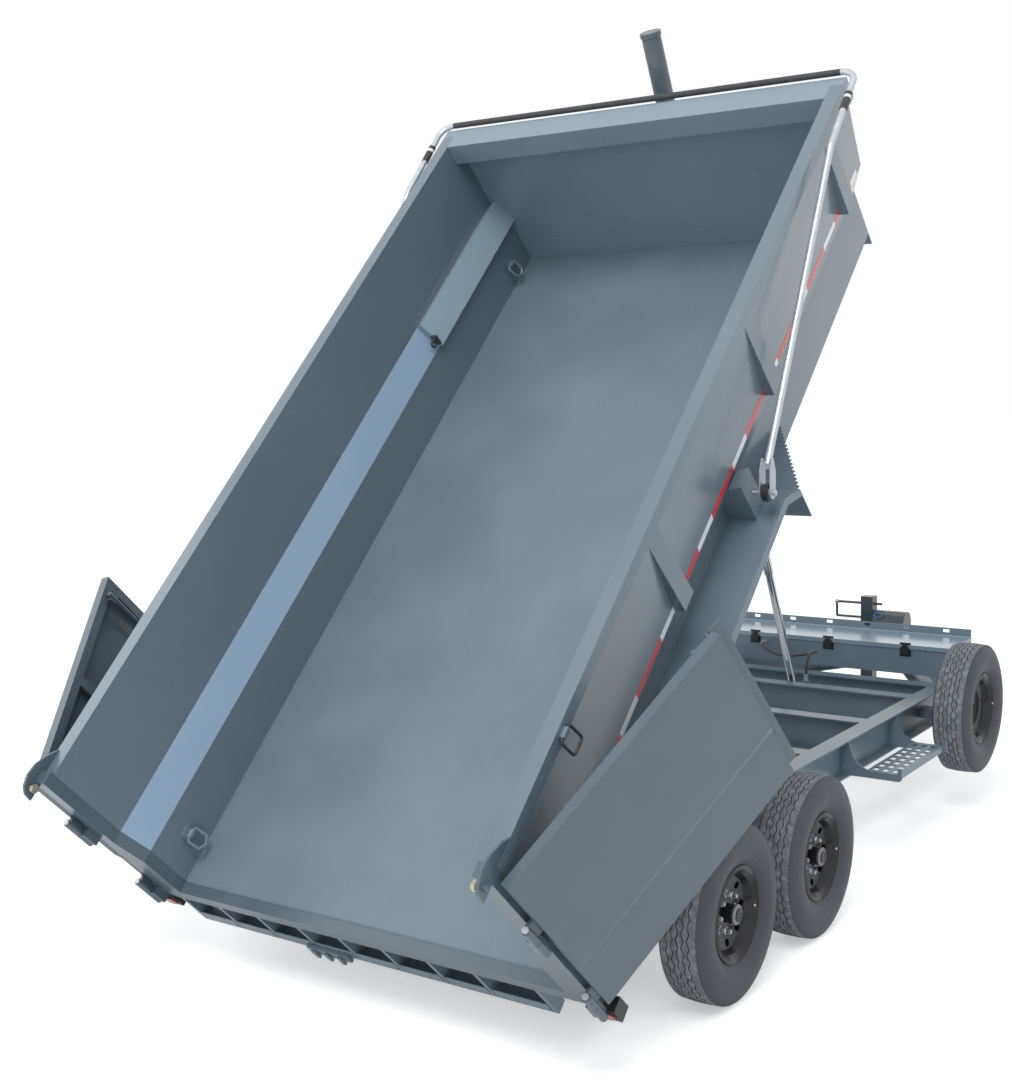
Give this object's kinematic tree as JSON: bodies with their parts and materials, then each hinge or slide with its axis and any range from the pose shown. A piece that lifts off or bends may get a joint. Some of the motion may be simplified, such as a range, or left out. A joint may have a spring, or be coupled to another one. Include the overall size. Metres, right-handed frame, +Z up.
{
  "type": "dump trailer",
  "caption": "Tandem-axle tipping trailer with its bed raised by a front telescopic cylinder, barn doors open, side-arm tarp bow, toolbox, side step and spare wheel.",
  "frame": {"origin": "on the ground at the middle of the jack's foot plate", "axes": "+Z up, +Y forward towards the hitch, +X to the trailer's right side"},
  "size_m": [3.2966, 7.2642, 4.5232],
  "materials": {
    "body_paint": "satin powder coat",
    "tyre": "matt",
    "rim_black": "gloss",
    "rod_chrome": "polished",
    "zinc": "zinc plated",
    "lamp_plastic": "gloss",
    "hose_rubber": "satin"
  },
  "bodies": {
    "frame": {"coupler": "body_paint", "coupler_channel": "body_paint", "cylinder_foot": "body_paint", "frame_crossmembers": "body_paint", "frame_rails": "body_paint", "front_axle": "body_paint", "hinge_brackets": "body_paint", "hydraulic_hose": "hose_rubber", "jack_crank": "zinc", "jack_leg": "body_paint", "jack_plate": "body_paint", "jack_post": "body_paint", "leaf_springs": "body_paint", "pump_cover": "body_paint", "rear_axle": "body_paint", "side_step": "body_paint", "spare_mount": "body_paint", "spare_rim": "rim_black", "spare_tyre": "tyre", "spring_equalisers": "body_paint", "spring_hangers": "body_paint", "tongue_beams": "body_paint", "toolbox": "body_paint"},
    "bed": {"bed_floor": "body_paint", "bed_subframe": "body_paint", "cylinder_brackets": "body_paint", "headboard": "body_paint", "ledge_cover": "body_paint", "left_fender": "body_paint", "left_wall": "body_paint", "ramp_rack": "body_paint", "rear_frame": "body_paint", "right_fender": "body_paint", "right_wall": "body_paint", "step_plates": "body_paint", "tail_lamps": "lamp_plastic", "tarp_pivots": "zinc"},
    "left_door": {"left_door": "body_paint"},
    "right_door": {"right_door": "body_paint"},
    "front_right_wheel": {"front_right_tyre": "tyre", "front_right_rim": "rim_black"},
    "front_left_wheel": {"front_left_tyre": "tyre", "front_left_rim": "rim_black"},
    "rear_right_wheel": {"rear_right_tyre": "tyre", "rear_right_rim": "rim_black"},
    "rear_left_wheel": {"rear_left_tyre": "tyre", "rear_left_rim": "rim_black"},
    "toolbox_lid": {"toolbox_lid": "body_paint"},
    "tarp_bow": {"tarp_bow": "zinc"},
    "cylinder_rod": {"cylinder_rod": "rod_chrome"},
    "cylinder_stage_2": {"cylinder_stage_2": "rod_chrome"},
    "cylinder_stage_3": {"cylinder_stage_3": "rod_chrome"},
    "cylinder_stage_4": {"cylinder_stage_4": "rod_chrome"},
    "cylinder_cover": {"cylinder_cover": "body_paint"}
  },
  "joints": [
    {"name": "bed_tilt", "type": "hinge", "parent": "frame", "child": "bed", "pos_m": [0, -5.336, 0.619], "axis": [1, 0, 0], "range_deg": [-45, 0]},
    {"name": "left_door_hinge", "type": "hinge", "parent": "bed", "child": "left_door", "pos_m": [-1.215, -5.78643, 0.35242], "axis": [0, 0.7071, -0.7071], "range_deg": [-250, 8]},
    {"name": "right_door_hinge", "type": "hinge", "parent": "bed", "child": "right_door", "pos_m": [1.215, -5.78643, 0.35242], "axis": [0, -0.7071, 0.7071], "range_deg": [-250, 8]},
    {"name": "tarp_bow_hinge", "type": "hinge", "parent": "bed", "child": "tarp_bow", "pos_m": [0, -4.41464, 2.18383], "axis": [1, 0, 0], "range_deg": [0, 143]},
    {"name": "toolbox_lid_hinge", "type": "hinge", "parent": "frame", "child": "toolbox_lid", "pos_m": [0, -0.394, 0.8683], "axis": [-1, 0, 0], "range_deg": [0, 85]},
    {"name": "front_right_wheel_spin", "type": "hinge", "parent": "frame", "child": "front_right_wheel", "pos_m": [1.182, -3.817, 0.391], "axis": [1, 0, 0], "continuous": true},
    {"name": "front_left_wheel_spin", "type": "hinge", "parent": "frame", "child": "front_left_wheel", "pos_m": [-1.182, -3.817, 0.391], "axis": [1, 0, 0], "continuous": true},
    {"name": "rear_right_wheel_spin", "type": "hinge", "parent": "frame", "child": "rear_right_wheel", "pos_m": [1.182, -4.718, 0.391], "axis": [1, 0, 0], "continuous": true},
    {"name": "rear_left_wheel_spin", "type": "hinge", "parent": "frame", "child": "rear_left_wheel", "pos_m": [-1.182, -4.718, 0.391], "axis": [1, 0, 0], "continuous": true},
    {"name": "cylinder_swing", "type": "hinge", "parent": "frame", "child": "cylinder_rod", "pos_m": [0, -1.306, 0.6], "axis": [1, 0, 0], "range_deg": [-31.13, 0]},
    {"name": "cylinder_stage_2_slide", "type": "slide", "parent": "cylinder_rod", "child": "cylinder_stage_2", "axis": [0, -0.4248, 0.9053], "range_m": [-0.76586, 0]},
    {"name": "cylinder_stage_3_slide", "type": "slide", "parent": "cylinder_stage_2", "child": "cylinder_stage_3", "axis": [0, -0.4248, 0.9053], "range_m": [-0.76586, 0]},
    {"name": "cylinder_stage_4_slide", "type": "slide", "parent": "cylinder_stage_3", "child": "cylinder_stage_4", "axis": [0, -0.4248, 0.9053], "range_m": [-0.76586, 0]},
    {"name": "cylinder_cover_slide", "type": "slide", "parent": "cylinder_stage_4", "child": "cylinder_cover", "axis": [0, -0.4248, 0.9053], "range_m": [-0.76586, 0]}
  ],
  "couplings": [
    {"joint": "cylinder_swing", "follows": "bed_tilt", "ratio": 0.69156},
    {"joint": "cylinder_stage_2_slide", "follows": "bed_tilt", "m_per_rad": 0.97448},
    {"joint": "cylinder_stage_3_slide", "follows": "bed_tilt", "m_per_rad": 0.97448},
    {"joint": "cylinder_stage_4_slide", "follows": "bed_tilt", "m_per_rad": 0.97448},
    {"joint": "cylinder_cover_slide", "follows": "bed_tilt", "m_per_rad": 0.97448}
  ]
}
